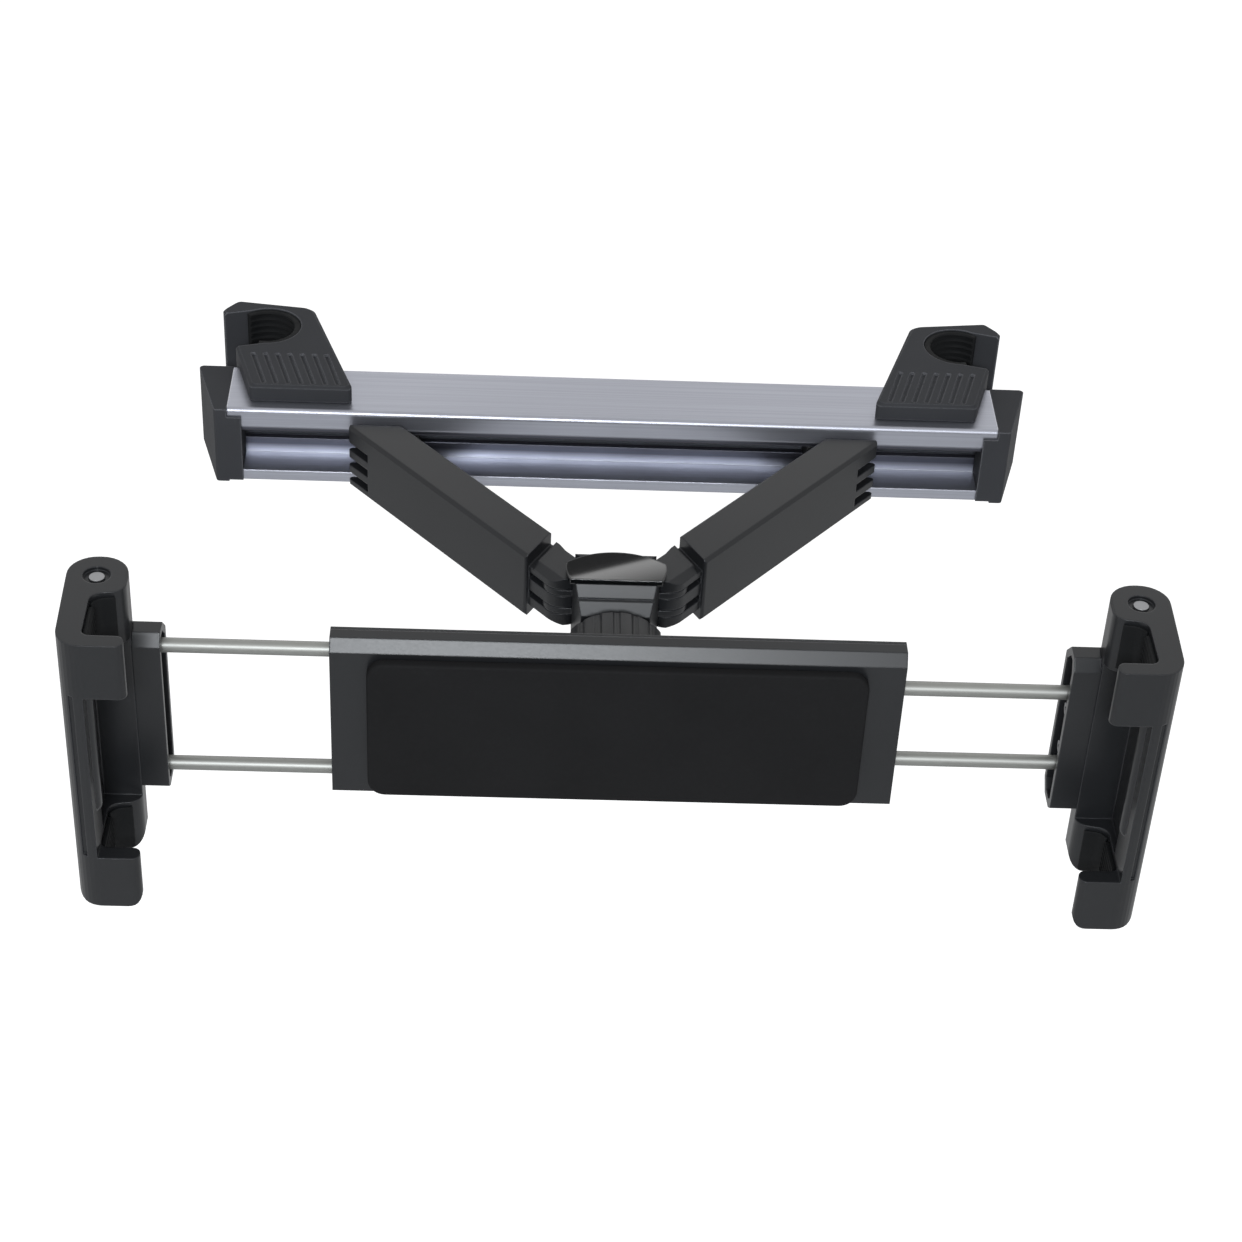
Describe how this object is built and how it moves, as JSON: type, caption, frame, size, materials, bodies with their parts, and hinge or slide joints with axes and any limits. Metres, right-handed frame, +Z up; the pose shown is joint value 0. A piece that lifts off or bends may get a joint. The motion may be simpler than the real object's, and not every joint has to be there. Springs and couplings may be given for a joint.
{
  "type": "headrest tablet mount",
  "caption": "Tablet mount that hooks onto two headrest posts, with a rail, two sliding folding arms, a ball joint and a holder with spring-rod jaws",
  "frame": {"origin": "midway between the axes of the two headrest posts, at half the height of the rail", "axes": "X along the rail, to the right as seen from the tablet; Y away from the tablet, towards the seat; Z up along the posts"},
  "size_m": [0.2142, 0.1494, 0.0656],
  "materials": {
    "dark_plastic": "fine moulded texture, satin",
    "gloss_plastic": "polished cap",
    "black_rubber": "soft matte rubber",
    "rail_aluminium": "satin anodised, drawn along its length",
    "steel": "ground rod and pin steel"
  },
  "bodies": {
    "rail": {"rail_extrusion": "rail_aluminium", "left_end_cap": "dark_plastic", "right_end_cap": "dark_plastic"},
    "left_hook_body": {"left_hook": "dark_plastic", "left_hook_liner": "black_rubber"},
    "right_hook_body": {"right_hook": "dark_plastic", "right_hook_liner": "black_rubber"},
    "left_slider": {"left_slider_shoe": "dark_plastic", "left_slider_pin": "steel"},
    "right_slider": {"right_slider_shoe": "dark_plastic", "right_slider_pin": "steel"},
    "left_arm_body": {"left_arm": "dark_plastic", "left_arm_cover": "dark_plastic"},
    "right_arm_body": {"right_arm": "dark_plastic", "right_arm_cover": "dark_plastic"},
    "hub": {"hub_body": "dark_plastic", "hub_cap": "gloss_plastic", "left_hub_pin": "steel", "right_hub_pin": "steel", "ball_stud": "steel"},
    "seat": {"ball_seat": "black_rubber"},
    "socket": {"ball_socket": "dark_plastic", "swivel_screw": "steel"},
    "nut": {"collar_nut": "dark_plastic"},
    "holder": {"holder_front": "dark_plastic", "holder_back": "dark_plastic", "holder_pad": "black_rubber", "left_end_plate": "dark_plastic", "right_end_plate": "dark_plastic", "left_rod_guide": "dark_plastic", "right_rod_guide": "dark_plastic", "holder_screws": "steel"},
    "left_jaw_body": {"left_jaw": "dark_plastic", "left_jaw_block": "dark_plastic", "left_upper_rod": "steel", "left_lower_rod": "steel", "left_rod_collars": "steel", "left_rod_screws": "steel", "left_jaw_pins": "steel", "left_upper_grip": "black_rubber", "left_lower_grip": "black_rubber"},
    "right_jaw_body": {"right_jaw": "dark_plastic", "right_jaw_block": "dark_plastic", "right_upper_rod": "steel", "right_lower_rod": "steel", "right_rod_collars": "steel", "right_rod_screws": "steel", "right_jaw_pins": "steel", "right_upper_grip": "black_rubber", "right_lower_grip": "black_rubber"}
  },
  "joints": [
    {"name": "left_hook_slide", "type": "slide", "parent": "rail", "child": "left_hook_body", "axis": [1, 0, 0], "range_m": [0, 0.025], "stiffness_N_per_m": 200, "springref_m": -0.02},
    {"name": "right_hook_slide", "type": "slide", "parent": "rail", "child": "right_hook_body", "axis": [-1, 0, 0], "range_m": [0, 0.025], "stiffness_N_per_m": 200, "springref_m": -0.02},
    {"name": "left_slider_slide", "type": "slide", "parent": "rail", "child": "left_slider", "axis": [1, 0, 0], "range_m": [-0.024, 0.003]},
    {"name": "left_arm_fold", "type": "hinge", "parent": "left_slider", "child": "left_arm_body", "pos_m": [-0.0506, -0.03365, -0.00145], "axis": [0, 0, 1], "range_deg": [-8, 15]},
    {"name": "hub_level", "type": "hinge", "parent": "left_arm_body", "child": "hub", "pos_m": [-0.011, -0.0801, -0.0001], "axis": [0, 0, 1], "range_deg": [-15, 8]},
    {"name": "right_arm_fold", "type": "hinge", "parent": "hub", "child": "right_arm_body", "pos_m": [0.011, -0.0801, -0.0001], "axis": [0, 0, 1], "range_deg": [-15, 8]},
    {"name": "right_slider_level", "type": "hinge", "parent": "right_arm_body", "child": "right_slider", "pos_m": [0.0506, -0.03365, -0.00145], "axis": [0, 0, 1], "range_deg": [-8, 15]},
    {"name": "holder_pan", "type": "hinge", "parent": "hub", "child": "seat", "pos_m": [0, -0.1014, -0.0057], "axis": [0, 0, 1], "range_deg": [-15, 15]},
    {"name": "holder_tilt", "type": "hinge", "parent": "seat", "child": "socket", "pos_m": [0, -0.1014, -0.0057], "axis": [1, 0, 0], "range_deg": [-15, 15]},
    {"name": "collar_nut_turn", "type": "hinge", "parent": "socket", "child": "nut", "pos_m": [0, -0.1014, -0.0057], "axis": [0, -1, 0], "range_deg": [0, 90]},
    {"name": "holder_spin", "type": "hinge", "parent": "socket", "child": "holder", "pos_m": [0, -0.1014, -0.0057], "axis": [0, -1, 0], "continuous": true},
    {"name": "left_jaw_slide", "type": "slide", "parent": "holder", "child": "left_jaw_body", "axis": [-1, 0, 0], "range_m": [-0.0325, 0.03]},
    {"name": "right_jaw_slide", "type": "slide", "parent": "holder", "child": "right_jaw_body", "axis": [1, 0, 0], "range_m": [-0.0325, 0.03]}
  ],
  "couplings": [
    {"joint": "hub_level", "follows": "left_arm_fold", "ratio": -1},
    {"joint": "right_arm_fold", "follows": "left_arm_fold", "ratio": -1},
    {"joint": "right_slider_level", "follows": "left_arm_fold", "ratio": 1}
  ]
}
